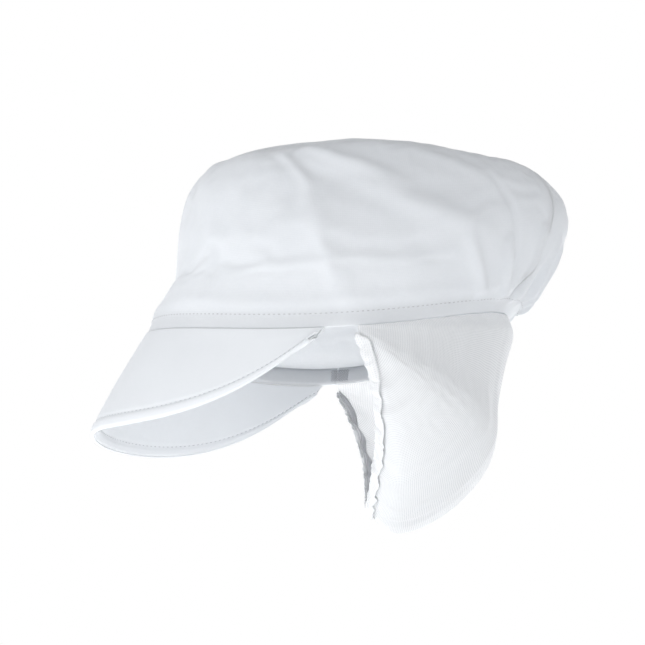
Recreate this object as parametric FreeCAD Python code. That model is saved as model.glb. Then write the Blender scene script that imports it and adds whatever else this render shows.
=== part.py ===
import FreeCAD, Part

import math
import os

# Peaked food-trade cap with a net snood, in millimetres.
# The front is towards -Y, the wearer's left towards +X and +Z is up. The origin is the
# centre of the head opening, level with the band's lower edge at front and rear centre.

V = FreeCAD.Vector

# Cloth and trim
CLOTH = 0.8  # poly-cotton with its seam allowances
NET = 0.6  # knitted snood net with its slack
LAYER_GAP = 0.3  # between two layers of one body
BODY_GAP = 0.3  # between the band and what flexes below it
TAPE_WIDTH = 8.0
TAPE_THICKNESS = 0.6
TAPE_END_CLEAR = 2.0  # between a rear seam tape's ends and what it meets
TACK_WIDTH = 9.0

# Head opening, measured over the outside of the band
BAND_LENGTH = 206.0
BAND_WIDTH = 166.0
BAND_HEIGHT = 10.0
SIDE_DROP = 17.0  # how far the band hangs at the sides

# Crown
CROWN_HEIGHT = 103.0
TIP_FRONT = 73.0  # the tip panel's reach forward of its own centre
TIP_REAR = 93.0
TIP_HALF_WIDTH = 72.0
TIP_CENTRE = 15.0
TIP_FALL_FRONT = 8.0  # how far the tip panel falls from its centre to its seam
TIP_FALL_SIDE = 15.0
TIP_FALL_REAR = 21.0
REAR_SEAM = 155.0  # angle of the rear seams from the front
REAR_FULLNESS = 37.0  # how far the gathered rear stands out past the band
SIDE_FULLNESS = 5.0
GATHERS = 5
GATHER_DEPTH = 2.0
GATHER_LIFT = 4.0  # from the band's casing to where the gathers start
GATHER_HEIGHT = 55.0  # how far up the gathers run

# Elastic
ELASTIC = 0.8
ELASTIC_WIDTH = 6.5
REAR_ELASTIC_SPAN = 32.0  # degrees each side of the rear centre

# Peak
PEAK_LENGTH = 32.0  # how far the tip stands out past the band, measured level
PEAK_HALF_WIDTH = 84.0
PEAK_BACK = -4.0  # where its outline starts, along Y
PEAK_FULL_DIP = 59.0
PEAK_TIP_LIFT = 19.5
PEAK_SQUARENESS = 2.5
PEAK_BOW = 4.0  # how far the peak bows out between its seam and its edge
PEAK_END = 88.5  # angle of its ends from the front
STIFFENER = 1.2
PEAK_COVER = 0.6
STIFFENER_INSET = 6.0  # from the outer edge to the stiffener

# Snood
SNOOD_START = 97.0  # angle of its front ends from the front
SNOOD_END = 0.96  # the net is cut blunt at this share of the way to its front ends
SNOOD_DEPTH = 101.0  # from the opening's level down to the bottom of the elastic
SNOOD_MOUTH = 18.0  # where the elastic's lowest point is, along Y
SNOOD_BAG = 41.0  # how far the bag stands out past a straight line
CASING_WIDTH = 7.5


def mix(a, b, share):
    return a + (b - a) * share


def along(values, share):
    """A smooth value read from a short evenly spaced list, share from 0 to 1."""
    last = len(values) - 1
    place = min(max(share, 0.0), 1.0) * last
    i = min(int(place), last - 1)
    t = place - i
    before = values[max(i - 1, 0)]
    start = values[i]
    end = values[i + 1]
    after = values[min(i + 2, last)]
    bend = 2 * before - 5 * start + 4 * end - after
    twist = 3 * (start - end) + after - before
    return start + 0.5 * t * (end - before + t * (bend + t * twist))


def fade(value, low, high):
    """0 below low, 1 above high, smooth between."""
    t = min(max((value - low) / (high - low), 0.0), 1.0)
    return t * t * (3 - 2 * t)


def power(value, exponent):
    return math.copysign(abs(value) ** exponent, value)


# ---------------------------------------------------------------- crown surface

HALF_LENGTH = BAND_LENGTH / 2
HALF_WIDTH = BAND_WIDTH / 2
TIP_SEAM_FRONT = TIP_CENTRE - TIP_FRONT
TIP_SEAM_REAR = TIP_CENTRE + TIP_REAR
TIP_TRIM = 5.0  # cloth past the outline before the tip panel is cut
AROUND = [7.5 * i for i in range(48)]  # even angles round the whole crown
WALL_ROWS = 14  # rows of points from the band to the tip seam
FRONT_COLUMNS = 28
COLUMNS_PER_GATHER = 4

# Seven even steps from the band's lower edge to the tip seam, as shares of the two ends
FRONT_IN = (0.0, 0.22, 0.38, 0.45, 0.55, 0.69, 0.85, 1.0)
FRONT_UP = (0.0, 0.22, 0.33, 0.53, 0.76, 0.905, 0.98, 1.0)
SIDE_UP = (0.0, 0.18, 0.35, 0.56, 0.77, 0.895, 0.97, 1.0)
SIDE_OUT = (0.0, 0.4, 0.8, 1.0, 1.0, 0.8, 0.5, 0.0)
SIDE_IN = (0.0, 0.0, 0.0, 0.0, 0.18, 0.45, 0.73, 1.0)
REAR_OUT = (0.0, 0.37, 0.7, 0.97, 0.94, 0.7, 0.36, 0.0)
REAR_UP = (0.0, 0.16, 0.365, 0.61, 0.8, 0.94, 1.0, 1.0)


def tip_height(x, y):
    """Outer height of the domed tip panel."""
    reach = TIP_FRONT if y < TIP_CENTRE else TIP_REAR
    fall = TIP_FALL_FRONT if y < TIP_CENTRE else TIP_FALL_REAR
    return (
        CROWN_HEIGHT
        - TIP_FALL_SIDE * (x / TIP_HALF_WIDTH) ** 2
        - fall * ((y - TIP_CENTRE) / reach) ** 2
    )


def crown_point(angle, rise):
    """A point on the crown wall's outer face: degrees from the front, rise from 0 to 1."""
    s = math.sin(math.radians(angle))
    c = math.cos(math.radians(angle))
    front_top = tip_height(0, TIP_SEAM_FRONT) - CLOTH
    side_top = tip_height(TIP_HALF_WIDTH, TIP_CENTRE) - CLOTH
    rear_top = tip_height(0, TIP_SEAM_REAR) - CLOTH
    middle = mix(0.0, TIP_CENTRE, rise)
    width = mix(HALF_WIDTH, TIP_HALF_WIDTH, along(SIDE_IN, rise))
    width += SIDE_FULLNESS * along(SIDE_OUT, rise)
    side_z = mix(-SIDE_DROP, side_top, along(SIDE_UP, rise))
    if c > 0:
        end_y = mix(-HALF_LENGTH, TIP_SEAM_FRONT, along(FRONT_IN, rise))
        end_z = front_top * along(FRONT_UP, rise)
    else:
        end_y = mix(HALF_LENGTH, TIP_SEAM_REAR, rise)
        end_y += REAR_FULLNESS * along(REAR_OUT, rise)
        end_z = rear_top * along(REAR_UP, rise)
    y = middle + (end_y - middle) * abs(c)
    point = V(width * s, y, mix(side_z, end_z, c * c))
    return point


def gather(angle, height):
    """How far the rear gathers push the wall in, by angle and height above the band."""
    turn = abs(180.0 - angle) / (180.0 - REAR_SEAM)
    if turn >= 1:
        return 0.0
    start = fade(height, BAND_HEIGHT + GATHER_LIFT, BAND_HEIGHT + 3 * GATHER_LIFT)
    end = 1 - fade(height, BAND_HEIGHT + 3 * GATHER_LIFT, GATHER_HEIGHT)
    wave = 0.5 - 0.5 * math.cos(math.pi * GATHERS * (1 + (180.0 - angle) / (180.0 - REAR_SEAM)))
    return GATHER_DEPTH * start * end * wave * fade(1 - turn, 0.0, 0.15)


def normal_of(surface, u, v, du, dv):
    """Unit normal of a point function by small steps."""
    across = surface(u + du, v) - surface(u - du, v)
    upward = surface(u, v + dv) - surface(u, v - dv)
    return across.cross(upward).normalize()


def crown_layer(angle, rise, depth):
    """A point at a depth inside the crown wall's outer face."""
    inside = min(max(rise, 0.002), 0.998)
    normal = normal_of(crown_point, angle, inside, 0.2, 0.002)
    point = crown_point(angle, rise)
    height = point.z - crown_point(angle, 0).z
    return point - normal * (depth + gather(angle, height))


# ---------------------------------------------------------------- solids from point functions


def clamped(count):
    """Degree, knots and multiplicities of an open spline with this many poles."""
    degree = min(3, count - 1)
    inner = count - degree - 1
    return degree, list(range(inner + 2)), [degree + 1] + [1] * inner + [degree + 1]


def poles_for(points):
    """Poles whose even cubic spline passes close by the points: each stands out a little."""
    poles = list(points)
    if len(points) > 4:
        for i in range(1, len(points) - 1):
            poles[i] = points[i] - (points[i - 1] - points[i] * 2 + points[i + 1]) / 6
    return poles


def face_through(rows):
    """A smooth cubic surface close to the points, with its edges on the outer ones."""
    rows = [poles_for(row) for row in rows]
    columns = [poles_for(column) for column in zip(*rows)]
    poles = [list(row) for row in zip(*columns)]
    u_degree, u_knots, u_mults = clamped(len(poles))
    v_degree, v_knots, v_mults = clamped(len(poles[0]))
    surface = Part.BSplineSurface()
    surface.buildFromPolesMultsKnots(
        poles, u_mults, v_mults, u_knots, v_knots, False, False, u_degree, v_degree
    )
    return surface


def closed_patch(outer_rows, inner_rows):
    """A closed solid between two matching grids of points."""
    outer = face_through(outer_rows)
    inner = face_through(inner_rows)
    faces = [outer.toShape(), inner.toShape()]
    u0, u1, v0, v1 = outer.bounds()
    iu0, iu1, iv0, iv1 = inner.bounds()
    pairs = (
        (outer.uIso(u0), inner.uIso(iu0)),
        (outer.uIso(u1), inner.uIso(iu1)),
        (outer.vIso(v0), inner.vIso(iv0)),
        (outer.vIso(v1), inner.vIso(iv1)),
    )
    for first, second in pairs:
        faces.append(Part.makeRuledSurface(first.toShape(), second.toShape()))
    return solid_of(faces)


def solid_of(faces):
    shell = Part.makeShell(faces)
    shell.sewShape()
    if shell.ShapeType != "Shell":
        shell = shell.Shells[0]
    solid = Part.makeSolid(shell)
    if solid.Volume < 0:
        solid.reverse()
    return solid


def steps(start, end, count):
    return [mix(start, end, i / count) for i in range(count + 1)]


def wall_piece(angles, rises, depth, thickness):
    """A cloth piece of the crown between two depths inside its outer face."""
    outer = [[crown_layer(a, r, depth) for a in angles] for r in rises]
    inner = [[crown_layer(a, r, depth + thickness) for a in angles] for r in rises]
    return closed_patch(outer, inner)


def closed_curve(points):
    curve = Part.BSplineCurve()
    curve.interpolate(Points=points, PeriodicFlag=True)
    return curve.toShape()


def ring_piece(corners):
    """A closed band with four edges, each a closed loop of points."""
    loops = [closed_curve(points) for points in corners]
    faces = []
    for i, loop in enumerate(loops):
        faces.append(Part.makeRuledSurface(loop, loops[(i + 1) % len(loops)]))
    return solid_of(faces)


# ---------------------------------------------------------------- crown pieces


def band_rise(height, angle):
    """The rise at which the wall is a given height above its lower edge."""
    low = 0.0
    high = 0.5
    base = crown_point(angle, 0).z
    for _ in range(30):
        middle = (low + high) / 2
        if crown_point(angle, middle).z - base < height:
            low = middle
        else:
            high = middle
    return low


def tip_rise(drop, angle):
    """The rise at which the wall is a given distance below its tip seam."""
    low = 0.5
    high = 1.0
    top = crown_point(angle, 1)
    for _ in range(30):
        middle = (low + high) / 2
        if (crown_point(angle, middle) - top).Length > drop:
            low = middle
        else:
            high = middle
    return high


def crown_front_panel():
    angles = steps(-REAR_SEAM, REAR_SEAM, FRONT_COLUMNS)
    return wall_piece(angles, steps(0, 1, WALL_ROWS), 0.0, CLOTH)


def crown_rear_panel():
    angles = steps(REAR_SEAM, 360 - REAR_SEAM, COLUMNS_PER_GATHER * GATHERS)
    return wall_piece(angles, steps(0, 1, WALL_ROWS), 0.0, CLOTH)


def crown_top_panel():
    """A domed slab cut to the outline of the wall's upper edge."""
    reach_x = TIP_HALF_WIDTH + TIP_TRIM
    front = TIP_SEAM_FRONT - TIP_TRIM
    rear = TIP_SEAM_REAR + TIP_TRIM
    across = steps(-reach_x, reach_x, 8)
    length = steps(front, rear, 12)
    outer = [[V(x, y, tip_height(x, y)) for y in length] for x in across]
    inner = [[V(x, y, tip_height(x, y) - CLOTH) for y in length] for x in across]
    slab = closed_patch(outer, inner)
    outline = [crown_point(a, 1.0) for a in AROUND]
    loop = Part.Wire([closed_curve([V(p.x, p.y, 0) for p in outline])])
    prism = Part.Face(loop).extrude(V(0, 0, 2 * CROWN_HEIGHT))
    return slab.common(prism).Solids[0]


def tip_seam_tape():
    """A bias tape covering the tip seam inside the crown, lying on the wall."""
    depth = CLOTH + LAYER_GAP

    def loop(drop, layer):
        return [crown_layer(a, tip_rise(drop, a), layer) for a in AROUND]

    top = LAYER_GAP
    bottom = top + TAPE_WIDTH
    corners = (
        loop(bottom, depth),
        loop(top, depth),
        loop(top, depth + TAPE_THICKNESS),
        loop(bottom, depth + TAPE_THICKNESS),
    )
    return ring_piece(corners)


def rear_seam_tape(side):
    """A tape over one rear seam, from above the band's facing to below the tip tape."""
    middle = 180 + side * (180 - REAR_SEAM)
    span = math.degrees(TAPE_WIDTH / 2 / HALF_LENGTH)
    low = band_rise(BAND_HEIGHT + TAPE_END_CLEAR, middle)
    high = tip_rise(TAPE_WIDTH + TAPE_END_CLEAR, middle)
    angles = steps(middle - span, middle + span, 3)
    return wall_piece(angles, steps(low, high, WALL_ROWS), CLOTH + LAYER_GAP, TAPE_THICKNESS)


def band_strip(start, end, low, high, depth, thickness, count):
    """A strip inside the band between two heights above its lower edge."""
    outer = []
    inner = []
    for height in steps(low, high, 2):
        angles = steps(start, end, count)
        rises = [band_rise(height, a) for a in angles]
        outer.append([crown_layer(a, r, depth) for a, r in zip(angles, rises)])
        inner.append([crown_layer(a, r, depth + thickness) for a, r in zip(angles, rises)])
    return closed_patch(outer, inner)


FACING_DEPTH = CLOTH + ELASTIC + 2 * LAYER_GAP
INNER_DEPTH = FACING_DEPTH + TAPE_THICKNESS


def band_facing():
    """The front half's facing, over the peak's seam allowance."""
    end = SNOOD_START - 4
    return band_strip(-end, end, 0, BAND_HEIGHT, FACING_DEPTH, TAPE_THICKNESS, 24)


def rear_casing():
    """The rear half's facing, which makes the tunnel for the rear elastic."""
    start = SNOOD_START - 3.5
    return band_strip(start, 360 - start, 0, BAND_HEIGHT, FACING_DEPTH, TAPE_THICKNESS, 24)


def rear_elastic():
    margin = (BAND_HEIGHT - ELASTIC_WIDTH) / 2
    start = 180 - REAR_ELASTIC_SPAN
    end = 180 + REAR_ELASTIC_SPAN
    depth = CLOTH + LAYER_GAP
    return band_strip(start, end, margin, BAND_HEIGHT - margin, depth, ELASTIC, 12)


def tack(angle, span):
    """A close zigzag of thread on the inside of the band."""
    depth = INNER_DEPTH + LAYER_GAP
    return band_strip(angle - span, angle + span, 1, BAND_HEIGHT - 1, depth, TAPE_THICKNESS, 2)


def rear_elastic_tacks():
    span = math.degrees(TACK_WIDTH / 4 / HALF_WIDTH)
    places = (180 - REAR_ELASTIC_SPAN, 180 + REAR_ELASTIC_SPAN)
    return Part.makeCompound([tack(a, span) for a in places])


def snood_elastic_tacks():
    span = math.degrees(TACK_WIDTH / 2 / HALF_WIDTH)
    places = (SNOOD_START + 1, 359 - SNOOD_START)
    return Part.makeCompound([tack(a, span) for a in places])


# ---------------------------------------------------------------- peak


def peak_edge(angle):
    """The peak's outer edge, by degrees from the front."""
    s = math.sin(math.radians(angle))
    c = max(math.cos(math.radians(angle)), 0.0)
    exponent = 2 / PEAK_SQUARENESS
    reach = abs(c) ** exponent
    tip = -HALF_LENGTH - PEAK_LENGTH
    y = mix(PEAK_BACK, tip, reach)
    dip = (1 - (1 - reach) ** 2) * (PEAK_FULL_DIP - PEAK_TIP_LIFT * reach)
    return V(PEAK_HALF_WIDTH * power(s, exponent), y, -SIDE_DROP - dip + 1)


def peak_point(angle, out):
    """A point on the peak's upper face, out from 0 at the seam to 1 at the edge."""
    root = crown_point(angle, 0) - V(0, 0, BODY_GAP)
    edge = peak_edge(angle)
    point = root + (edge - root) * out
    bow = PEAK_BOW * math.cos(math.radians(angle)) * 4 * out * (1 - out)
    return point + V(0, -0.7, 0.7) * bow


def peak_layer(angle, out, depth):
    inside = min(max(out, 0.01), 0.99)
    turned = min(max(angle, -PEAK_END + 0.3), PEAK_END - 0.3)
    normal = normal_of(peak_point, turned, inside, 0.2, 0.01)
    if normal.z < 0:
        normal = -normal
    return peak_point(angle, out) - normal * depth


def peak_angles(end, count):
    """Angles that crowd together towards the ends, where the outline turns fastest."""
    return [end * math.sin(math.pi / 2 * share) for share in steps(-1, 1, count)]


def peak_cover(depth):
    angles = peak_angles(PEAK_END, 28)
    outs = steps(0, 1, 6)
    outer = [[peak_layer(a, o, depth) for a in angles] for o in outs]
    inner = [[peak_layer(a, o, depth + PEAK_COVER) for a in angles] for o in outs]
    return closed_patch(outer, inner)


def peak_upper_cover():
    return peak_cover(0.0)


def peak_lower_cover():
    return peak_cover(PEAK_COVER + STIFFENER + 2 * LAYER_GAP)


def peak_stiffener():
    """The plastic blade between the covers, short of the edge by its seam allowance."""
    angles = peak_angles(PEAK_END - 8, 24)
    depth = PEAK_COVER + LAYER_GAP
    outer = []
    inner = []
    for share in steps(0, 1, 6):
        top = []
        bottom = []
        for a in angles:
            reach = (peak_point(a, 1) - peak_point(a, 0)).Length
            out = mix(0.02, 1 - STIFFENER_INSET / reach, share)
            top.append(peak_layer(a, out, depth))
            bottom.append(peak_layer(a, out, depth + STIFFENER))
        outer.append(top)
        inner.append(bottom)
    return closed_patch(outer, inner)


# ---------------------------------------------------------------- snood

# The bag's profile at the rear centre: share of the straight run, share of the bag's depth
BAG_RUN = (0.0, 0.04, 0.17, 0.33, 0.47, 0.6, 0.76, 0.9, 1.01, 1.03, 1.0)
BAG_OUT = (0.0, 0.2, 0.36, 0.62, 0.9, 1.0, 0.96, 0.8, 0.55, 0.28, 0.0)


def snood_root(share):
    """The net's seam under the band, share from -1 on the right to 1 on the left."""
    angle = 180 - (180 - SNOOD_START) * share
    return crown_point(angle, 0) - V(0, 0, BODY_GAP)


def snood_mouth(share):
    """The free edge, which the elastic gathers."""
    turn = math.radians(90 * share)
    start = snood_root(1)
    low = math.cos(turn) ** 0.9 if abs(share) < 1 else 0.0
    x = (start.x - 2) * power(math.sin(turn), 0.85)
    z = mix(start.z - 3, -SNOOD_DEPTH, low)
    y = mix(start.y + 1, SNOOD_MOUTH, low) + 7 * math.sin(math.pi * low)
    return V(x, y, z)


def snood_point(share, down):
    root = snood_root(share)
    mouth = snood_mouth(share)
    run = mouth - root
    outward = V(root.x, root.y, 0).normalize() + V(0, 0, -0.85)
    direction = V(run).normalize()
    outward = outward - direction * outward.dot(direction)
    outward = outward.normalize()
    full = 1 - abs(share) ** 2.2
    point = root + run * along(BAG_RUN, down)
    return point + outward * (SNOOD_BAG * full * along(BAG_OUT, down))


def snood_layer(share, down, depth):
    inside = min(max(down, 0.01), 0.99)
    turned = min(max(share, -0.99), 0.99)
    normal = normal_of(snood_point, turned, inside, 0.01, 0.01)
    centre = V(0, 40, -50)
    point = snood_point(share, down)
    if normal.dot(point - centre) < 0:
        normal = -normal
    return point - normal * depth


def snood_net():
    shares = steps(-SNOOD_END, SNOOD_END, 24)
    downs = steps(0, 1, len(BAG_RUN) - 1)
    outer = [[snood_layer(s, d, 0) for s in shares] for d in downs]
    inner = [[snood_layer(s, d, NET) for s in shares] for d in downs]
    return closed_patch(outer, inner)


def mouth_strip(width, depth, thickness):
    """A strip along the net's free edge, on the outside for a negative depth."""
    rows_outer = []
    rows_inner = []
    for back in steps(0, width, 2):
        outer = []
        inner = []
        for share in steps(-SNOOD_END, SNOOD_END, 24):
            down = mouth_share(share, back)
            outer.append(snood_layer(share, down, depth))
            inner.append(snood_layer(share, down, depth + thickness))
        rows_outer.append(outer)
        rows_inner.append(inner)
    return closed_patch(rows_outer, rows_inner)


def mouth_share(share, back):
    """How far down the net a line is that lies a distance back from its free edge."""
    edge = snood_point(share, 1)
    low = 0.5
    high = 1.0
    for _ in range(25):
        middle = (low + high) / 2
        if (snood_point(share, middle) - edge).Length > back:
            low = middle
        else:
            high = middle
    return high


def snood_edge_casing():
    return mouth_strip(CASING_WIDTH, -LAYER_GAP - NET, NET)


def snood_elastic():
    return mouth_strip(ELASTIC_WIDTH, NET + LAYER_GAP, ELASTIC)


# ---------------------------------------------------------------- write

PIECES = {
    "crown_top_panel": crown_top_panel,
    "crown_front_panel": crown_front_panel,
    "crown_rear_panel": crown_rear_panel,
    "tip_seam_tape": tip_seam_tape,
    "rear_seam_tape_left": lambda: rear_seam_tape(-1),
    "rear_seam_tape_right": lambda: rear_seam_tape(1),
    "band_facing": band_facing,
    "rear_casing": rear_casing,
    "rear_elastic": rear_elastic,
    "rear_elastic_tacks": rear_elastic_tacks,
    "snood_elastic_tacks": snood_elastic_tacks,
    "peak_upper_cover": peak_upper_cover,
    "peak_stiffener": peak_stiffener,
    "peak_lower_cover": peak_lower_cover,
    "snood_net": snood_net,
    "snood_edge_casing": snood_edge_casing,
    "snood_elastic": snood_elastic,
}

os.makedirs("parts", exist_ok=True)
for name, make in PIECES.items():
    shape = make()
    shape.exportStep("parts/" + name + ".step")
    print(name, shape.ShapeType, "valid", shape.isValid(), "volume", round(shape.Volume))
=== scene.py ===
import math

import bmesh
import bpy
from mathutils import Matrix, Vector, noise


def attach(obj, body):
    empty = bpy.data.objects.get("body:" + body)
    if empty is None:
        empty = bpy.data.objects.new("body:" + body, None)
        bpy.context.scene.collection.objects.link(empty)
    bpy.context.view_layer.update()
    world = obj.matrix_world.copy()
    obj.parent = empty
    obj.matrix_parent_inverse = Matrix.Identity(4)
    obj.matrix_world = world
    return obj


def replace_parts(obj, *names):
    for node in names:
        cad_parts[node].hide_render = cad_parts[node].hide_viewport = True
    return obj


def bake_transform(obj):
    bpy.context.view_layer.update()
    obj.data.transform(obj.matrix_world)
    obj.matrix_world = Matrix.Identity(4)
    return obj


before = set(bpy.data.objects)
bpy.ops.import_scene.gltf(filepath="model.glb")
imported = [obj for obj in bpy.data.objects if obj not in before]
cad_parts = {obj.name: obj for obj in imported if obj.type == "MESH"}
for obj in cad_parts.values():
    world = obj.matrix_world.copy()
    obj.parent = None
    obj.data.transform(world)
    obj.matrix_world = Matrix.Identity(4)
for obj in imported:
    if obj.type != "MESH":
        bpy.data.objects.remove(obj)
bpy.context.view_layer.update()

# A white poly-cotton work cap with a stiffened peak and an elasticated net snood.
# Shapes are worked out in millimetres, front towards -Y, and made in metres.

MM = 0.001


def mix(a, b, share):
    return a + (b - a) * share


def fade(value, low, high):
    """0 below low, 1 above high, smooth between."""
    t = min(max((value - low) / (high - low), 0.0), 1.0)
    return t * t * (3 - 2 * t)


def along(values, share):
    """A smooth value read from a short evenly spaced list, share from 0 to 1."""
    last = len(values) - 1
    place = min(max(share, 0.0), 1.0) * last
    i = min(int(place), last - 1)
    t = place - i
    before = values[max(i - 1, 0)]
    start = values[i]
    end = values[i + 1]
    after = values[min(i + 2, last)]
    bend = 2 * before - 5 * start + 4 * end - after
    twist = 3 * (start - end) + after - before
    return start + 0.5 * t * (end - before + t * (bend + t * twist))


def power(value, exponent):
    return math.copysign(abs(value) ** exponent, value)


# ---------------------------------------------------------------- camera, light and floor

CAMERA_AZIMUTH = 89.0
CAMERA_ELEVATION = -12.5
CAMERA_ROLL = -2.9
CAMERA_DISTANCE = 1.2
VIEW_WIDTH = 0.367
TARGET = Vector((0, -2.3, 4.0)) * MM
SENSOR = 36.0


def make_camera():
    azimuth = math.radians(CAMERA_AZIMUTH)
    rise = math.radians(CAMERA_ELEVATION)
    roll = math.radians(CAMERA_ROLL)
    back = Vector((math.sin(azimuth) * math.cos(rise), -math.cos(azimuth) * math.cos(rise), math.sin(rise)))
    level = Vector((math.cos(azimuth), math.sin(azimuth), 0))
    upright = back.cross(level)
    right = level * math.cos(roll) + upright * math.sin(roll)
    up = upright * math.cos(roll) - level * math.sin(roll)
    data = bpy.data.cameras.new("camera")
    data.sensor_width = SENSOR
    data.lens = SENSOR * CAMERA_DISTANCE / VIEW_WIDTH
    camera = bpy.data.objects.new("camera", data)
    turn = Matrix((right, up, back)).transposed().to_4x4()
    camera.matrix_world = Matrix.Translation(TARGET + back * CAMERA_DISTANCE) @ turn
    bpy.context.collection.objects.link(camera)
    bpy.context.scene.camera = camera


def area_light(name, place, size, watts, colour=(1, 1, 1)):
    data = bpy.data.lights.new(name, "AREA")
    data.size = size
    data.energy = watts
    data.color = colour
    lamp = bpy.data.objects.new(name, data)
    lamp.location = place
    lamp.rotation_euler = (TARGET - Vector(place)).to_track_quat("-Z", "Y").to_euler()
    bpy.context.collection.objects.link(lamp)


# ---------------------------------------------------------------- materials


def linear(colour):
    """An sRGB hex colour as linear RGBA."""
    values = [int(colour[i:i + 2], 16) / 255 for i in (0, 2, 4)]
    return [v / 12.92 if v <= 0.04045 else ((v + 0.055) / 1.055) ** 2.4 for v in values] + [1.0]


def add(tree, kind, settings=None, links=None):
    """A node of a kind, with its settings and its inputs given as values or as links."""
    node = tree.nodes.new(kind)
    for name, value in (settings or {}).items():
        setattr(node, name, value)
    for name, value in (links or {}).items():
        if isinstance(value, bpy.types.NodeSocket):
            tree.links.new(value, node.inputs[name])
        else:
            node.inputs[name].default_value = value
    return node


def new_material(name, roughness, sheen):
    material = bpy.data.materials.new(name)
    material.use_nodes = True
    tree = material.node_tree
    shader = tree.nodes["Principled BSDF"]
    shader.inputs["Roughness"].default_value = roughness
    shader.inputs["Sheen Weight"].default_value = sheen
    shader.inputs["Sheen Roughness"].default_value = 0.5
    shader.inputs["Specular IOR Level"].default_value = 0.3
    return material, tree, shader


def threads(tree, coordinate, pitch, direction):
    """A wave of threads side by side, pitch in mm, on coordinates in metres."""
    wave = add(
        tree,
        "ShaderNodeTexWave",
        {"wave_type": "BANDS", "bands_direction": direction, "wave_profile": "SIN"},
        {"Vector": coordinate, "Scale": math.pi / 10 / (pitch * MM), "Distortion": 0.0},
    )
    return wave.outputs["Fac"]


def math_node(tree, operation, first, second=0.0):
    return add(tree, "ShaderNodeMath", {"operation": operation}, {0: first, 1: second}).outputs[0]


def woven_cloth(name, light, shade, pitch=0.8, bump=0.25, sheen=0.15, through=0.5):
    """Bleached poly-cotton in plain weave: matt, faintly uneven, soft along folds.

    Its threads are 0.3 mm apart, too fine to see here, so they are drawn coarser.
    """
    material, tree, shader = new_material(name, 0.85, sheen)
    cloth = add(tree, "ShaderNodeUVMap", {"uv_map": "cloth"}).outputs[0]
    place = add(tree, "ShaderNodeTexCoord").outputs["Object"]
    warp = threads(tree, cloth, pitch, "X")
    weft = threads(tree, cloth, pitch, "Y")
    weave = math_node(tree, "MAXIMUM", warp, weft)
    slub = add(tree, "ShaderNodeTexNoise", None, {"Vector": cloth, "Scale": 600.0, "Detail": 3.0}).outputs[0]
    crumple_settings = {"Vector": place, "Scale": 38.0, "Detail": 4.0}
    crumple = add(tree, "ShaderNodeTexNoise", None, crumple_settings).outputs[0]
    slub_share = math_node(tree, "MULTIPLY", slub, 0.35)
    crumple_share = math_node(tree, "MULTIPLY", crumple, 0.65)
    tone = math_node(tree, "ADD", slub_share, crumple_share)
    colours = add(tree, "ShaderNodeMix", {"data_type": "RGBA"}, {0: tone})
    colours.inputs[6].default_value = linear(shade)
    colours.inputs[7].default_value = linear(light)
    tree.links.new(colours.outputs[2], shader.inputs["Base Color"])
    height = math_node(tree, "ADD", weave, math_node(tree, "MULTIPLY", slub, 0.8))
    fine = add(tree, "ShaderNodeBump", None, {"Strength": bump, "Distance": 0.0001, "Height": height})
    soft = add(
        tree, "ShaderNodeBump", None,
        {"Strength": 0.25, "Distance": 0.0015, "Height": crumple, "Normal": fine.outputs[0]},
    )
    tree.links.new(soft.outputs[0], shader.inputs["Normal"])
    shader.inputs["Subsurface Weight"].default_value = through
    shader.inputs["Subsurface Radius"].default_value = (1.0, 1.0, 1.0)
    shader.inputs["Subsurface Scale"].default_value = 0.003
    return material


def knitted_net(name, pitch=1.3, thinnest=0.8):
    """Fine polyester net with square meshes: the eye sees a bright veil, a little clear.

    Its meshes are about 1 mm and drawn a little coarser, so that they show.
    """
    material, tree, shader = new_material(name, 0.8, 0.1)
    cloth = add(tree, "ShaderNodeUVMap", {"uv_map": "cloth"}).outputs[0]
    across = threads(tree, cloth, pitch, "X")
    down = threads(tree, cloth, pitch, "Y")
    both = math_node(tree, "MAXIMUM", across, down)
    colours = add(tree, "ShaderNodeMix", {"data_type": "RGBA"}, {0: both})
    colours.inputs[6].default_value = linear("F4F7FA")
    colours.inputs[7].default_value = linear("FDFEFF")
    tree.links.new(colours.outputs[2], shader.inputs["Base Color"])
    solid = add(
        tree, "ShaderNodeMapRange", {"interpolation_type": "SMOOTHSTEP"},
        {"Value": both, "From Min": 0.2, "From Max": 0.8, "To Min": thinnest, "To Max": 0.98},
    )
    tree.links.new(solid.outputs[0], shader.inputs["Alpha"])
    bump = add(tree, "ShaderNodeBump", None, {"Strength": 0.08, "Distance": 0.0001, "Height": both})
    tree.links.new(bump.outputs[0], shader.inputs["Normal"])
    shader.inputs["Subsurface Weight"].default_value = 0.4
    shader.inputs["Subsurface Radius"].default_value = (1.0, 1.0, 1.0)
    shader.inputs["Subsurface Scale"].default_value = 0.003
    return material


def ribbed_elastic(name):
    """Braided elastic: rubber cords side by side under white yarn, finely ribbed, with painted shade
    darkening the grooves between the ribs.
    """
    material, tree, shader = new_material(name, 0.75, 0.1)
    cloth = add(tree, "ShaderNodeUVMap", {"uv_map": "cloth"}).outputs[0]
    ribs = threads(tree, cloth, 1.1, "Y")
    yarn = threads(tree, cloth, 0.9, "X")
    colours = add(tree, "ShaderNodeMix", {"data_type": "RGBA"}, {0: ribs})
    # the darker colour lies in the grooves between the ribs: painted shade
    colours.inputs[6].default_value = linear("D8D7DA")
    colours.inputs[7].default_value = linear("FAFAFB")
    tree.links.new(colours.outputs[2], shader.inputs["Base Color"])
    height = math_node(tree, "ADD", ribs, math_node(tree, "MULTIPLY", yarn, 0.35))
    bump = add(tree, "ShaderNodeBump", None, {"Strength": 0.6, "Distance": 0.0003, "Height": height})
    tree.links.new(bump.outputs[0], shader.inputs["Normal"])
    return material


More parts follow.
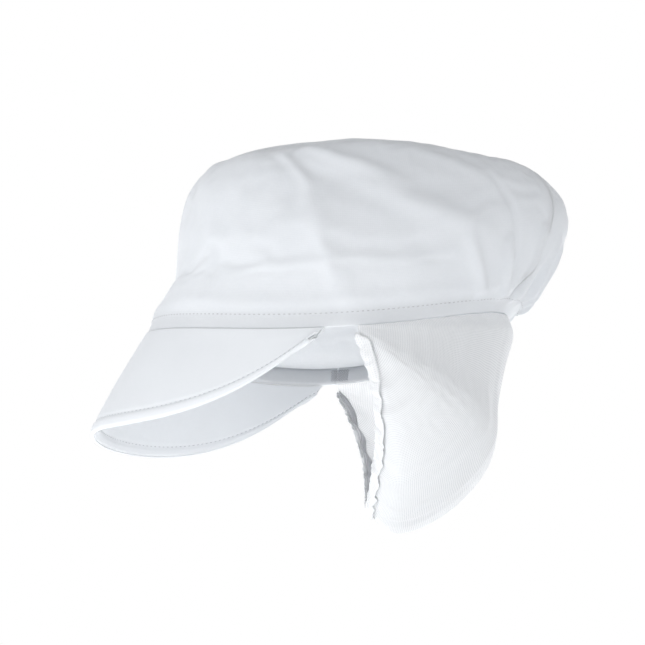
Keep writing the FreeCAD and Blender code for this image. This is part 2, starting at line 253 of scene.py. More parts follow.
def cut_plastic(name):
    """Polypropylene sheet cut to shape: smooth and satin, with a faint milky cloud in it."""
    material, tree, shader = new_material(name, 0.45, 0.0)
    place = add(tree, "ShaderNodeTexCoord").outputs["Object"]
    cloud = add(tree, "ShaderNodeTexNoise", None, {"Vector": place, "Scale": 60.0, "Detail": 2.0}).outputs[0]
    colours = add(tree, "ShaderNodeMix", {"data_type": "RGBA"}, {0: cloud})
    colours.inputs[6].default_value = linear("E3E6E8")
    colours.inputs[7].default_value = linear("EFF1F2")
    tree.links.new(colours.outputs[2], shader.inputs["Base Color"])
    bump = add(tree, "ShaderNodeBump", None, {"Strength": 0.1, "Distance": 0.0002, "Height": cloud})
    tree.links.new(bump.outputs[0], shader.inputs["Normal"])
    return material


def spun_thread(name, colour):
    """Spun polyester sewing thread: twisted, so each stitch has fine slanting lines."""
    material, tree, shader = new_material(name, 0.6, 0.1)
    place = add(tree, "ShaderNodeTexCoord").outputs["Object"]
    twist = add(tree, "ShaderNodeTexNoise", None, {"Vector": place, "Scale": 3000.0}).outputs[0]
    colours = add(tree, "ShaderNodeMix", {"data_type": "RGBA"}, {0: twist})
    colours.inputs[6].default_value = linear("B9BBC0")
    colours.inputs[7].default_value = linear(colour)
    tree.links.new(colours.outputs[2], shader.inputs["Base Color"])
    return material


CROWN_CLOTH = woven_cloth("bleached_poly_cotton", "F1F4F8", "E4E8ED")
PEAK_CLOTH = woven_cloth("bleached_poly_cotton_on_blade", "F4F6F9", "ECEFF2", bump=0.15, through=0.0)
TAPE_CLOTH = woven_cloth("folded_cotton_tape", "F3F5F8", "E6E9ED", pitch=0.7, through=0.35)
NET = knitted_net("knitted_polyester_net")
CASING_NET = knitted_net("doubled_net_casing", thinnest=0.92)
BLADE = cut_plastic("die_cut_polypropylene")
ELASTIC = ribbed_elastic("braided_elastic")
THREAD = spun_thread("spun_sewing_thread", "E3E5E9")


# ---------------------------------------------------------------- mesh tools

RIGID_BODIES = ("cap",)  # pieces on the peak and the snood are left unattached to any body


def finish(bm, name, material, body):
    """A finished piece at the origin from a bmesh in millimetres."""
    for vertex in bm.verts:
        vertex.co *= MM
    mesh = bpy.data.meshes.new(name)
    bm.to_mesh(mesh)
    bm.free()
    for face in mesh.polygons:
        face.use_smooth = True
    mesh.materials.append(material)
    piece = bpy.data.objects.new(name, mesh)
    bpy.context.collection.objects.link(piece)
    if body in RIGID_BODIES:
        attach(piece, body)
    return piece


def evenly(u):
    return u


def closer_at_ends(u):
    """Puts columns two and a half times closer together at both ends than in the middle."""
    t = 2 * u - 1
    return 0.5 + 0.5 * (1.25 * t - 0.25 * t ** 3)


def grid_piece(columns, rows, place, size, closed=False, turn_over=False, spread=evenly):
    """A sheet of columns by rows squares laid where place(u, v) says, u and v from 0 to 1.

    Its outer side is the one from which v runs left of u, unless it is turned over.
    """
    bm = bmesh.new()
    uv = bm.loops.layers.uv.new("cloth")
    bmesh.ops.create_grid(bm, x_segments=columns, y_segments=rows, size=0.5)
    for face in bm.faces:
        for loop in face.loops:
            u = spread(loop.vert.co.x + 0.5)
            v = loop.vert.co.y + 0.5
            loop[uv].uv = (u * size[0] * MM, v * size[1] * MM)
    for vertex in bm.verts:
        vertex.co = place(spread(vertex.co.x + 0.5), vertex.co.y + 0.5)
    if closed:
        bmesh.ops.remove_doubles(bm, verts=bm.verts, dist=0.01)
    if turn_over:
        bmesh.ops.reverse_faces(bm, faces=bm.faces)
    return bm


def thicken(piece, thickness, offset=-1.0):
    """Gives a sheet its thickness in mm, inwards unless offset says otherwise."""
    solid = piece.modifiers.new("thickness", "SOLIDIFY")
    solid.thickness = thickness * MM
    solid.offset = offset
    return piece


def smoothed(piece):
    """One level of subdivision, so that folds turn softly."""
    curve = piece.modifiers.new("smooth", "SUBSURF")
    curve.levels = 1
    curve.render_levels = 1
    return piece


LOOSE_HOLD = 0.3  # how firmly the middle of a cloth keeps its modelled place
SETTLE_FRAMES = 14
CROWN_SLACK = 0.004  # share by which the cloth is longer than its seams let it lie
NET_SLACK = 0.006


def settle(piece, grip, slack):
    """Lets a cloth that is a little long for its seams buckle into small natural wrinkles.

    grip(u, v) is 1 where the cloth is sewn down and 0 where it is free.
    """
    held = piece.vertex_groups.new(name="held")
    flat = piece.data.uv_layers["cloth"].data
    place = {loop.vertex_index: flat[loop.index].uv for loop in piece.data.loops}
    wide = max(uv[0] for uv in place.values())
    tall = max(uv[1] for uv in place.values())
    for index, uv in place.items():
        weight = mix(LOOSE_HOLD, 1.0, grip(uv[0] / wide, uv[1] / tall))
        held.add([index], weight, "REPLACE")
    cloth = piece.modifiers.new("cloth", "CLOTH")
    settings = cloth.settings
    settings.quality = 5
    settings.mass = 0.15
    settings.tension_stiffness = 20
    settings.compression_stiffness = 20
    settings.shear_stiffness = 8
    settings.bending_stiffness = 20.0
    settings.tension_damping = 10
    settings.compression_damping = 10
    settings.shear_damping = 10
    settings.vertex_group_mass = held.name
    settings.pin_stiffness = 1.0
    settings.shrink_min = -slack
    cloth.collision_settings.use_collision = False
    cloth.point_cache.frame_start = 1
    cloth.point_cache.frame_end = SETTLE_FRAMES
    for frame_number in range(1, SETTLE_FRAMES + 1):
        bpy.context.scene.frame_set(frame_number)
    graph = bpy.context.evaluated_depsgraph_get()
    result = bpy.data.meshes.new_from_object(piece.evaluated_get(graph))
    piece.modifiers.remove(cloth)
    piece.vertex_groups.remove(held)
    piece.data = result
    return piece


def stitches(name, path, pitch, thread, body, share=0.62):
    """A row of stitches along a list of (point, normal) places in mm."""
    bm = bmesh.new()
    bm.loops.layers.uv.new("cloth")
    travelled = 0.0
    due = 0.0
    for (a, normal), (b, _) in zip(path, path[1:]):
        step = (b - a).length
        if step < 1e-6:
            continue
        direction = (b - a) / step
        while due < travelled + step:
            centre = a + direction * (due - travelled)
            across = direction.cross(normal).normalized()
            turn = Matrix((direction, across, direction.cross(across))).transposed().to_4x4()
            size = Matrix.Diagonal((pitch * share / 2, thread / 2, thread / 2, 1))
            bmesh.ops.create_icosphere(
                bm, subdivisions=1, radius=1.0, matrix=Matrix.Translation(centre) @ turn @ size
            )
            due += pitch
        travelled += step
    return finish(bm, name, THREAD, body)


# ---------------------------------------------------------------- crown shape

HALF_LENGTH = 103.0
HALF_WIDTH = 83.0
SIDE_DROP = 17.0
BAND_HEIGHT = 10.0
BAND_STITCH = 7.5  # the topstitch above the band's lower edge
BAND_TUCK = 0.7  # how far the stitched band lies inside the crown's line
BAND_PUFF = 0.9  # how far the cloth swells just above it
CROWN_HEIGHT = 103.0
TIP_FRONT = 73.0
TIP_REAR = 93.0
TIP_HALF_WIDTH = 72.0
TIP_CENTRE = 15.0
TIP_FALL_FRONT = 8.0
TIP_FALL_SIDE = 15.0
TIP_FALL_REAR = 21.0
REAR_FULLNESS = 37.0
SIDE_FULLNESS = 5.0
CLOTH = 0.6

FRONT_IN = (0.0, 0.22, 0.38, 0.45, 0.55, 0.69, 0.85, 1.0)
FRONT_UP = (0.0, 0.22, 0.33, 0.53, 0.76, 0.905, 0.98, 1.0)
SIDE_UP = (0.0, 0.18, 0.35, 0.56, 0.77, 0.895, 0.97, 1.0)
SIDE_OUT = (0.0, 0.4, 0.8, 1.0, 1.0, 0.8, 0.5, 0.0)
SIDE_IN = (0.0, 0.0, 0.0, 0.0, 0.18, 0.45, 0.73, 1.0)
REAR_OUT = (0.0, 0.37, 0.7, 0.97, 0.92, 0.66, 0.33, 0.0)
REAR_UP = (0.0, 0.16, 0.365, 0.61, 0.8, 0.94, 1.0, 1.0)

REAR_SEAM = 155.0  # degrees from the front


def tip_height(x, y):
    """Height of the domed tip, which falls away more behind than in front."""
    reach = TIP_FRONT if y < TIP_CENTRE else TIP_REAR
    fall = TIP_FALL_FRONT if y < TIP_CENTRE else TIP_FALL_REAR
    side = TIP_FALL_SIDE * (x / TIP_HALF_WIDTH) ** 2
    return CROWN_HEIGHT - side - fall * ((y - TIP_CENTRE) / reach) ** 2


FRONT_TOP = tip_height(0, TIP_CENTRE - TIP_FRONT)
SIDE_TOP = tip_height(TIP_HALF_WIDTH, TIP_CENTRE)
REAR_TOP = tip_height(0, TIP_CENTRE + TIP_REAR)


def crown_base(angle, rise):
    """The crown wall without its folds."""
    sine = math.sin(math.radians(angle))
    cosine = math.cos(math.radians(angle))
    middle = mix(0.0, TIP_CENTRE, rise)
    width = mix(HALF_WIDTH, TIP_HALF_WIDTH, along(SIDE_IN, rise)) + SIDE_FULLNESS * along(SIDE_OUT, rise)
    side_z = mix(-SIDE_DROP, SIDE_TOP, along(SIDE_UP, rise))
    if cosine > 0:
        end_y = mix(-HALF_LENGTH, TIP_CENTRE - TIP_FRONT, along(FRONT_IN, rise))
        end_z = FRONT_TOP * along(FRONT_UP, rise)
    else:
        end_y = mix(HALF_LENGTH, TIP_CENTRE + TIP_REAR, rise) + REAR_FULLNESS * along(REAR_OUT, rise)
        end_z = REAR_TOP * along(REAR_UP, rise)
    length = middle + (end_y - middle) * abs(cosine)
    return Vector((width * sine, length, mix(side_z, end_z, cosine * cosine)))


DEGREE = 1.6  # mm of cloth to a degree round the crown
WALL = 125.0  # mm of cloth from band to tip

# Soft folds on the wearer's left: start and end as (degrees from the front, rise), then width
# and height in mm. Valleys have a negative height.
SIDE_FOLDS = (
    ((65, 0.80), (80, 0.55), 3, 1.7),
    ((75, 0.85), (105, 0.55), 5, 2.8),
    ((70, 0.70), (100, 0.50), 6, -1.8),
    ((95, 0.55), (130, 0.35), 5, 2.8),
    ((105, 0.40), (125, 0.20), 7, -1.6),
    ((80, 0.50), (95, 0.10), 7, 2.4),
    ((110, 0.35), (115, 0.10), 9, 1.5),
    ((45, 0.35), (45, 0.10), 2.5, -1.3),
    ((25, 0.80), (40, 0.40), 9, 1.1),
    ((110, 0.80), (130, 0.55), 6, 1.6),
    ((130, 0.60), (145, 0.25), 2, -1.3),
)
FAR_TURN = 7.0  # degrees by which the same folds lie further back on the right
FAR_SOFTNESS = 1.25  # how much wider and lower they are there

GATHER_SPAN = 40.0  # degrees each side of the rear centre
GATHERS = 8
GATHER_STEP = 2 * GATHER_SPAN / GATHERS
RIDGE_TOP = 0.34  # rise at which the ridges over the gathers fade out
RIDGE_SPREAD = 1.4  # how much further from the rear centre they stand there
RIDGE_WIDTH = 2.8
RIDGE_HEIGHT = 5.0
GATHER_DEPTH = 4.2
GATHER_TOP = 46.0  # height above the band's edge at which the gathers have run out


def make_folds():
    """The folds of both sides and the ridges that rise from the rear gathers."""
    folds = list(SIDE_FOLDS)
    for (start, high), (end, low), width, height in SIDE_FOLDS:
        across = (360 - start - FAR_TURN, high), (360 - end - FAR_TURN, low)
        folds.append((*across, width * FAR_SOFTNESS, height / FAR_SOFTNESS))
    for i in range(GATHERS + 1):
        side = i * GATHER_STEP - GATHER_SPAN
        top = RIDGE_TOP + 0.12 * noise.noise(Vector((i * 1.7, 0, 3.0)))
        height = RIDGE_HEIGHT * (1 + 0.5 * noise.noise(Vector((i * 2.3, 0, 6.0))))
        folds.append(((180 + side * RIDGE_SPREAD, top), (180 + side, 0.05), RIDGE_WIDTH, height))
    return folds


FOLDS = make_folds()


FOLD_SHARE = 0.75  # how much of each fold's height is used
SLOW_WAVE = 1.8  # height in mm of the broad unevenness of the cloth
QUICK_WAVE = 0.7  # and of the finer one


def fold_height(point, angle, rise):
    """How far the folds lift the cloth at a place, in mm."""
    lift = 0.0
    for start, end, width, height in FOLDS:
        turn = (angle - start[0] + 180) % 360 - 180
        here = Vector((turn * DEGREE, (rise - start[1]) * WALL))
        run = Vector(((end[0] - start[0]) * DEGREE, (end[1] - start[1]) * WALL))
        t = max(0.0, min(1.0, here.dot(run) / run.length_squared))
        gap = (here - run * t).length / width
        if gap < 3:
            lift += height * math.exp(-gap * gap) * (0.35 + 0.65 * math.sin(math.pi * (0.1 + 0.8 * t)))
    slow = noise.noise(point * 0.022)
    quick = noise.noise(point * 0.06)
    free = fade(rise, 0.06, 0.12) * (1 - fade(rise, 0.95, 1.0))
    return (FOLD_SHARE * lift + SLOW_WAVE * slow + QUICK_WAVE * quick) * free


def gather_depth(angle, height):
    """How far the rear gathers pull the cloth in, by angle and height above the band in mm."""
    turn = (angle - 180.0) / GATHER_SPAN
    if abs(turn) >= 1:
        return 0.0
    wander = 0.05 * noise.noise(Vector((turn * 3.1, height * 0.02, 5.0)))
    wave = 0.5 - 0.5 * math.cos(math.pi * GATHERS * (1 + turn + wander))
    uneven = 0.7 + 0.5 * noise.noise(Vector((turn * 4.0, 0, 9.0)))
    rise = fade(height, BAND_HEIGHT - 2, BAND_HEIGHT + 3)
    fall = 1 - fade(height, BAND_HEIGHT + 6, GATHER_TOP)
    return GATHER_DEPTH * uneven * rise * fall * (wave ** 1.4) * fade(1 - abs(turn), 0.0, 0.25)


def normal_of(surface, u, v, du, dv):
    """The direction that a surface faces at a place, from its slope either side."""
    across = surface(u + du, v) - surface(u - du, v)
    upward = surface(u, v + dv) - surface(u, v - dv)
    return across.cross(upward).normalized()


def crown_at(angle, rise, depth=0.0):
    """A point of the crown wall with its folds, at a depth inside its outer face."""
    inside = min(max(rise, 0.003), 0.997)
    normal = normal_of(crown_base, angle, inside, 0.2, 0.002)
    point = crown_base(angle, rise)
    height = point.z - crown_base(angle, 0).z
    round_angle = angle % 360
    push = fold_height(point, round_angle, rise) - gather_depth(round_angle, height)
    push += BAND_PUFF * math.exp(-(((height - BAND_HEIGHT - 4) / 4) ** 2))
    push -= BAND_TUCK * (1 - fade(height, BAND_STITCH - 0.5, BAND_HEIGHT + 1))
    return point + normal * (push - depth), normal


def rise_at(height, angle):
    """The rise at which the wall is a height in mm above its lower edge."""
    low, high = 0.0, 0.5
    base = crown_base(angle, 0).z
    for _ in range(24):
        middle = (low + high) / 2
        if crown_base(angle, middle).z - base < height:
            low = middle
        else:
            high = middle
    return low


def crown_front():
    """The wall round the front and sides, from one rear seam to the other."""

    def place(u, v):
        return crown_at(mix(-REAR_SEAM, REAR_SEAM, u), v)[0]

    bm = grid_piece(200, 54, place, (2 * REAR_SEAM * DEGREE, WALL), spread=closer_at_ends)
    return finish(bm, "crown_front_cloth", CROWN_CLOTH, "cap")


def crown_rear():
    """The gathered rear panel."""

    def place(u, v):
        return crown_at(mix(REAR_SEAM, 360 - REAR_SEAM, u), v)[0]

    bm = grid_piece(60, 64, place, (2 * (180 - REAR_SEAM) * DEGREE, WALL))
    return finish(bm, "crown_rear_cloth", CROWN_CLOTH, "cap")


def crown_tip():
    """The domed top, laid out in rings from its middle to its seam."""

    def place(u, v):
        edge, _ = crown_at(360 * u, 1.0)
        centre = Vector((0, TIP_CENTRE, 0))
        x = edge.x * v
        y = centre.y + (edge.y - centre.y) * v
        crease = 0.7 * noise.noise(Vector((x * 0.03, y * 0.03, 2.0))) * fade(1 - v, 0, 0.15)
        puff = 0.8 * math.exp(-(((1 - v) * 9 - 0.8) ** 2)) * fade(1 - v, 0, 0.06)
        return Vector((x, y, tip_height(x, y) + crease + puff))

    bm = grid_piece(144, 40, place, (360 * 1.4, 80), closed=True, turn_over=True)
    return finish(bm, "crown_tip_cloth", CROWN_CLOTH, "cap")


def wall_strip(name, angles, heights, depth, columns, material, by_rise=False):
    """A strip inside the crown between two heights or rises, at a depth in mm."""

    def place(u, v):
        angle = mix(angles[0], angles[1], u)
        rise = mix(heights[0], heights[1], v) if by_rise else rise_at(mix(heights[0], heights[1], v), angle)
        return crown_at(angle, rise, depth)[0]

    span = abs(angles[1] - angles[0]) * DEGREE
    tall = (heights[1] - heights[0]) * (WALL if by_rise else 1)
    full_turn = abs(angles[1] - angles[0]) >= 360
    bm = grid_piece(columns, 6, place, (span, tall), closed=full_turn)
    return thicken(finish(bm, name, material, "cap"), 0.5)


# ---------------------------------------------------------------- peak shape

PEAK_LENGTH = 32.0
PEAK_HALF_WIDTH = 84.0
PEAK_BACK = -4.0
PEAK_FULL_DIP = 59.0
PEAK_TIP_LIFT = 19.5
PEAK_SQUARENESS = 2.5
PEAK_BOW = 1.2
PEAK_END = 88.5
PEAK_THICKNESS = 2.6
EDGE_STITCH = 6.0


def peak_edge(angle):
    """A point of the peak's rim."""
    sine = math.sin(math.radians(angle))
    cosine = max(math.cos(math.radians(angle)), 0.0)
    exponent = 2 / PEAK_SQUARENESS
    reach = cosine ** exponent
    y = mix(PEAK_BACK, -HALF_LENGTH - PEAK_LENGTH, reach)
    dip = (1 - (1 - reach) ** 2) * (PEAK_FULL_DIP - PEAK_TIP_LIFT * reach)
    return Vector((PEAK_HALF_WIDTH * power(sine, exponent), y, -SIDE_DROP - dip + 1))


def peak_base(angle, out):
    """The peak's upper face without its padding, out from 0 at the seam to 1 at the rim."""
    root = crown_base(angle, 0)
    edge = peak_edge(angle)
    bow = PEAK_BOW * math.cos(math.radians(angle)) * 4 * out * (1 - out)
    return root + (edge - root) * out + Vector((0, -0.7, 0.7)) * bow


def peak_at(angle, out, depth=0.0):
    """A point of the peak with its stitched groove and soft edge, at a depth below its face."""
    inside = min(max(out, 0.01), 0.99)
    turned = min(max(angle, -PEAK_END + 0.3), PEAK_END - 0.3)
    normal = normal_of(peak_base, turned, inside, 0.2, 0.01)
    if normal.z < 0:
        normal = -normal
    point = peak_base(angle, out)
    reach = (peak_base(angle, 1) - peak_base(angle, 0)).length
    from_edge = reach * (1 - out)
    groove = -0.55 * math.exp(-(((from_edge - EDGE_STITCH) / 0.9) ** 2))
    pad = 0.35 * fade(from_edge, 0.4, 2) * (1 - fade(from_edge, 4.4, 6))
    uneven = 0.5 * noise.noise(point * 0.03) * fade(out, 0.0, 0.2)
    surface = (groove + pad) if depth == 0 else -(groove + pad) * 0.6
    return point + normal * (surface + uneven - depth), normal


def peak_angle(u):
    """Angles that lie closer together towards the peak's ends."""
    return PEAK_END * math.sin(math.pi / 2 * (2 * u - 1))


ROLL_ROWS = 8
PEAK_ROWS = 60


def peak_upper():
    """The upper cover, which rolls round the edge to meet the lower cover."""
    rows = PEAK_ROWS + ROLL_ROWS

    def place(u, v):
        angle = peak_angle(u)
        row = v * rows
        if row <= PEAK_ROWS:
            return peak_at(angle, row / PEAK_ROWS)[0]
        edge, normal = peak_at(angle, 1)
        inner = peak_at(angle, 0.97)[0]
        outward = (edge - inner).normalized()
        turn = math.pi * (row - PEAK_ROWS) / ROLL_ROWS
        half = PEAK_THICKNESS / 2
        return edge - normal * half + normal * (half * math.cos(turn)) + outward * (half * math.sin(turn))

    bm = grid_piece(170, rows, place, (330, 72), turn_over=True)
    return finish(bm, "peak_upper_cloth", PEAK_CLOTH, "peak")


def peak_layer(name, depth, out, material, turn_over):
    def place(u, v):
        return peak_at(peak_angle(u), mix(0.0, out, v), depth)[0]

    bm = grid_piece(150, 44, place, (330, 70), turn_over=turn_over)
    return finish(bm, name, material, "peak")


# ---------------------------------------------------------------- snood shape

SNOOD_START = 97.0  # angle of the front end on the wearer's left
SNOOD_START_RIGHT = 92.5  # the right side lies a little further forward
SNOOD_DEPTH = 101.0
SNOOD_MOUTH = 18.0
SNOOD_BAG = 41.0
BAG_RUN = (0.0, 0.04, 0.17, 0.33, 0.47, 0.6, 0.76, 0.9, 1.01, 1.03, 1.0)
BAG_OUT = (0.0, 0.2, 0.36, 0.62, 0.9, 1.0, 0.96, 0.8, 0.55, 0.28, 0.0)


def snood_root(share):
    """The line along which the net is sewn to the band."""
    start = SNOOD_START if share > 0 else SNOOD_START_RIGHT
    return crown_base(180 - (180 - start) * share, 0)


def snood_mouth(share):
    """The free edge, which runs from the temples down under the nape."""
    turn = math.radians(90 * share)
    start = snood_root(1 if share > 0 else -1)
    low = max(math.cos(turn), 0.0) ** 0.9
    x = (abs(start.x) - 2) * power(math.sin(turn), 0.85)
    z = mix(start.z - 3, -SNOOD_DEPTH, low)
    y = mix(start.y + 1, SNOOD_MOUTH, low) + 7 * math.sin(math.pi * low)
    return Vector((x, y, z))


def snood_base(share, down):
    """The net without its folds: a bag that bulges back between the band and its free edge."""
    root = snood_root(share)
    mouth = snood_mouth(share)
    run = mouth - root
    outward = Vector((root.x, root.y, 0)).normalized() + Vector((0, 0, -0.85))
    direction = run.normalized()
    outward = (outward - direction * outward.dot(direction)).normalized()
    full = 1 - abs(share) ** 2.2
    return root + run * along(BAG_RUN, down) + outward * (SNOOD_BAG * full * along(BAG_OUT, down))


PLEAT_HEIGHT = 0.7  # small pleats at the band, in mm
MOUTH_FOLD_HEIGHT = 3.4  # folds that run back from the elastic
SLACK_HEIGHT = 2.2  # the broad unevenness of the net


def snood_at(share, down, depth=0.0):
    """A point of the net with its folds, share running round the head and down to its edge."""
    inside = min(max(down, 0.01), 0.99)
    turned = min(max(share, -0.985), 0.985)
    normal = normal_of(snood_base, turned, inside, 0.01, 0.01)
    point = snood_base(share, down)
    if normal.dot(point - Vector((0, 40, -50))) < 0:
        normal = -normal
    pleats = PLEAT_HEIGHT * noise.noise(Vector((share * 16, down * 1.6, 1.0))) * (1 - down) ** 1.2
    mouth_folds = MOUTH_FOLD_HEIGHT * noise.noise(Vector((share * 15, down * 1.6, 6.0))) * down ** 1.3
    slack = SLACK_HEIGHT * noise.noise(Vector((share * 2.5, down * 4.0, 8.0)))
    held = fade(down, 0, 0.06) * (1 - fade(down, 0.95, 1.0)) * fade(1 - abs(share), 0.0, 0.12)
    return point + normal * ((pleats + mouth_folds + slack) * held - depth), normal


def share_back(share, back):
    """How far down the net a line is that lies a distance in mm back from its free edge."""
    edge = snood_base(share, 1)
    low, high = 0.5, 1.0
    for _ in range(20):
        middle = (low + high) / 2
        if (snood_base(share, middle) - edge).length > back:
            low = middle
        else:
            high = middle
    return high


NET_END = 0.985


def snood_net():
    def place(u, v):
        return snood_at(mix(-NET_END, NET_END, u), v)[0]

    bm = grid_piece(140, 80, place, (380, 180))
    return finish(bm, "snood_net_cloth", NET, "snood")


def mouth_strip(name, width, depth, ruffle, rows, columns, material, length):
    """A strip along the net's free edge, width and depth in mm, puckered by ruffle mm."""

    def place(u, v):
        share = mix(-NET_END, NET_END, u)
        back = v * width
        point, normal = snood_at(share, share_back(share, back), depth)
        if ruffle:
            wave = 0.45 * math.sin(u * 260 + 6 * noise.noise(Vector((u * 40, 0, 0))))
            wave += 0.7 * noise.noise(Vector((u * 110, v * 2, 4.0)))
            point += normal * ruffle * (wave + 0.4)
            inward = (snood_base(share, 0.9) - snood_base(share, 1)).normalized()
            point -= inward * (0.5 * noise.noise(Vector((u * 70, v, 7.0))))
        return point

    bm = grid_piece(columns, rows, place, (length, width))
    return thicken(finish(bm, name, material, "snood"), 0.5)


# ---------------------------------------------------------------- build

make_camera()

# the crown: three panels sewn together, tapes over the seams and facings inside the band
front = crown_front()
rear = crown_rear()
tip = crown_tip()


def front_grip(u, v):
    """The wall is sewn down at the band, the tip and its seams, and held by the rear gathers."""
    sewn = max(1 - fade(v, 0.09, 0.28), fade(v, 0.93, 0.99), fade(abs(u - 0.5), 0.485, 0.5))
    return max(sewn, 0.6 * fade(abs(u - 0.5), 0.38, 0.44) * (1 - fade(v, 0.36, 0.5)))


def rear_grip(u, v):
    """The same for the rear panel, which is gathered all along."""
    sewn = max(1 - fade(v, 0.09, 0.2), fade(v, 0.93, 0.99), fade(abs(u - 0.5), 0.44, 0.5))
    return max(sewn, 0.6 * (1 - fade(v, 0.36, 0.5)))


def tip_grip(u, v):
    """The tip is sewn down round its rim."""
    return fade(v, 0.93, 0.99)


settle(front, front_grip, CROWN_SLACK)
settle(rear, rear_grip, CROWN_SLACK)
settle(tip, tip_grip, CROWN_SLACK)
for cloth in (front, rear, tip):
    thicken(smoothed(cloth), CLOTH)
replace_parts(front, "crown_front_panel")
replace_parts(rear, "crown_rear_panel")
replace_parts(tip, "crown_top_panel")

TIP_TAPE_RISES = (0.935, 0.985)
SEAM_TAPE_RISES = (0.12, 0.91)
SEAM_TAPE_HALF = 2.2  # half its width, in degrees
FACING_HEIGHTS = (0.3, BAND_HEIGHT)
FACING_DEPTH = 1.9
FACING_JOIN = 93.0  # angle at which the front facing ends; the rear casing starts just past it
ELASTIC_ANGLES = (148.0, 212.0)
ELASTIC_HEIGHTS = (1.8, 8.2)

tip_tape = wall_strip("tip_tape", (0, 360), TIP_TAPE_RISES, 1.2, 144, TAPE_CLOTH, True)
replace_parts(tip_tape, "tip_seam_tape")

front_span = (-FACING_JOIN, FACING_JOIN)
rear_span = (FACING_JOIN + 0.5, 360 - FACING_JOIN - 0.5)
facing = wall_strip("front_facing", front_span, FACING_HEIGHTS, FACING_DEPTH, 110, TAPE_CLOTH)
casing = wall_strip("rear_facing", rear_span, FACING_HEIGHTS, FACING_DEPTH, 110, TAPE_CLOTH)
elastic = wall_strip("rear_elastic_strip", ELASTIC_ANGLES, ELASTIC_HEIGHTS, 1.0, 60, ELASTIC)
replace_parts(facing, "band_facing")
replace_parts(casing, "rear_casing")
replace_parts(elastic, "rear_elastic")

# the peak: a plastic blade between two cloth covers, the upper one turned round the edge
upper = thicken(peak_upper(), 0.5)
blade = thicken(peak_layer("peak_blade", 0.9, 0.92, BLADE, True), 0.8)
lower = thicken(peak_layer("peak_lower_cloth", PEAK_THICKNESS, 1.0, PEAK_CLOTH, False), 0.4)
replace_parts(upper, "peak_upper_cover")
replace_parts(blade, "peak_stiffener")
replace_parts(lower, "peak_lower_cover")

# the snood: a net bag with an elastic in the puckered casing along its free edge


def net_grip(u, v):
    """The net is sewn down at the band, at its casing and at both ends."""
    return max(1 - fade(v, 0.01, 0.06), fade(v, 0.94, 0.97), fade(abs(u - 0.5), 0.47, 0.5))


net = snood_net()
settle(net, net_grip, NET_SLACK)
thicken(smoothed(net), 0.15)
ruffle = mouth_strip("snood_ruffle", 8.0, -0.8, 0.75, 8, 520, CASING_NET, 380)
band = mouth_strip("snood_elastic_strip", 6.5, 1.0, 0.0, 4, 200, ELASTIC, 300)
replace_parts(net, "snood_net")
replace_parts(ruffle, "snood_edge_casing")
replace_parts(band, "snood_elastic")


def band_line(height, lift):
    """A line round the crown at a height above its edge, lifted off the cloth, in mm."""
    path = []
    for i in range(361):
        angle = float(i)
        point, normal = crown_at(angle, rise_at(height, angle))
        path.append((point + normal * lift, normal))
    return path


def peak_line(depth, lift):
    """A line along the peak's rim, where its edge is stitched."""
    path = []
    for i in range(241):
        angle = peak_angle(mix(0.01, 0.99, i / 240))
        reach = (peak_base(angle, 1) - peak_base(angle, 0)).length
        point, normal = peak_at(angle, max(0.0, 1 - EDGE_STITCH / reach), depth)
        path.append((point + normal * lift, normal))
    return path


stitches("band_topstitch", band_line(BAND_STITCH, 0.12), 2.8, 0.55, "cap")
upper_stitch = stitches("peak_topstitch_upper", peak_line(0.0, 0.05), 2.8, 0.55, "peak")
lower_stitch = stitches("peak_topstitch_lower", peak_line(PEAK_THICKNESS, -0.05), 2.8, 0.55, "peak")

for side, node in ((-1, "rear_seam_tape_left"), (1, "rear_seam_tape_right")):
    middle = 180 + side * (180 - REAR_SEAM)
    angles = (middle - SEAM_TAPE_HALF, middle + SEAM_TAPE_HALF)
    name = node.replace("rear_seam_", "")
    tape = wall_strip(name, angles, SEAM_TAPE_RISES, 1.0, 6, TAPE_CLOTH, True)
    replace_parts(tape, node)


def zigzag(name, angle, width, node):
    """Close zigzag stitches through the inside of the band at an angle."""
    path = []
    for i in range(29):
        turn = angle + width / 2 / DEGREE * (1 if i % 2 else -1)
        point, normal = crown_at(turn, rise_at(mix(1.5, BAND_HEIGHT - 1.5, i / 28), turn), 2.6)
        path.append((point, -normal))
    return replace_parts(stitches(name, path, 1.5, 0.4, "cap", 0.9), node)


TACK_INSET = 1.5  # degrees behind the snood's front end
zigzag("rear_tack_stitches_left", ELASTIC_ANGLES[0], 3.0, "rear_elastic_tacks")
zigzag("rear_tack_stitches_right", ELASTIC_ANGLES[1], 3.0, "rear_elastic_tacks")
zigzag("snood_tack_stitches_left", SNOOD_START + TACK_INSET, 9.0, "snood_elastic_tacks")
zigzag("snood_tack_stitches_right", 360 - TACK_INSET - SNOOD_START_RIGHT, 9.0, "snood_elastic_tacks")
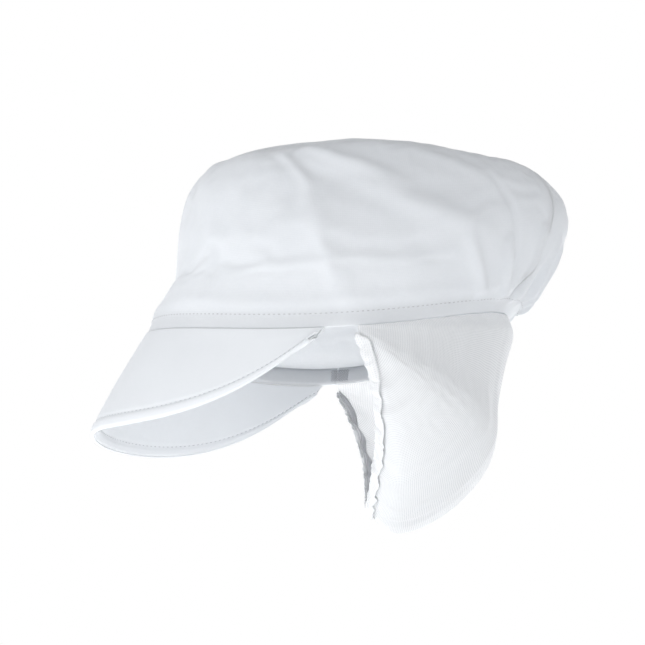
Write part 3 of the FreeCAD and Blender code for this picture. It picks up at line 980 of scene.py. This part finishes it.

# the peak and snood pieces have their placing baked into their meshes
for piece in (upper, blade, lower, upper_stitch, lower_stitch):
    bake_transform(piece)
for piece in (net, ruffle, band):
    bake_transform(piece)

# floor, light and surroundings
FLOOR_REACH = 6.0
FLOOR_LEVEL = -0.42
floor_bm = bmesh.new()
bmesh.ops.create_grid(floor_bm, x_segments=1, y_segments=1, size=FLOOR_REACH)
bmesh.ops.translate(floor_bm, verts=floor_bm.verts, vec=(0, 0, FLOOR_LEVEL))
floor_mesh = bpy.data.meshes.new("floor")
floor_bm.to_mesh(floor_mesh)
floor_bm.free()
floor_obj = bpy.data.objects.new("floor", floor_mesh)
floor_material = bpy.data.materials.new("pale_floor")
floor_material.use_nodes = True
floor_material.node_tree.nodes["Principled BSDF"].inputs["Base Color"].default_value = linear("F2F3F4")
floor_mesh.materials.append(floor_material)
bpy.context.collection.objects.link(floor_obj)

world = bpy.data.worlds.new("studio")
bpy.context.scene.world = world
world.use_nodes = True
sky = world.node_tree
background = sky.nodes["Background"]
background.inputs["Color"].default_value = linear("FCFDFF")
# the studio dims upwards from the horizon, and the camera sees it as plain white
upward = add(sky, "ShaderNodeSeparateXYZ", None, {0: add(sky, "ShaderNodeTexCoord").outputs["Generated"]})
dimming = {"Value": upward.outputs["Z"], "From Min": -0.1, "From Max": 0.9, "To Min": 0.71, "To Max": 0.36}
fall = add(sky, "ShaderNodeMapRange", None, dimming)
sky.links.new(fall.outputs[0], background.inputs["Strength"])
bright = add(sky, "ShaderNodeBackground", None, {"Color": (1, 1, 1, 1), "Strength": 1.0})
ray = add(sky, "ShaderNodeLightPath")
seen = ray.outputs["Is Camera Ray"]
choice = add(sky, "ShaderNodeMixShader", None, {0: seen, 1: background.outputs[0], 2: bright.outputs[0]})
sky.links.new(choice.outputs[0], sky.nodes["World Output"].inputs[0])
area_light("key", (0.5, -1.4, 0.15), 1.4, 9.3, (0.97, 0.985, 1.0))
area_light("fill", (1.1, -0.15, -0.36), 1.0, 2)
area_light("bounce", (0.15, -0.05, -0.4), 0.9, 2.2)
area_light("backlight", (-1.2, 0.1, 0.0), 1.4, 28)
area_light("rear_fill", (0.4, 1.4, 0.2), 1.0, 2.2)
bpy.context.scene.view_settings.view_transform = "Standard"
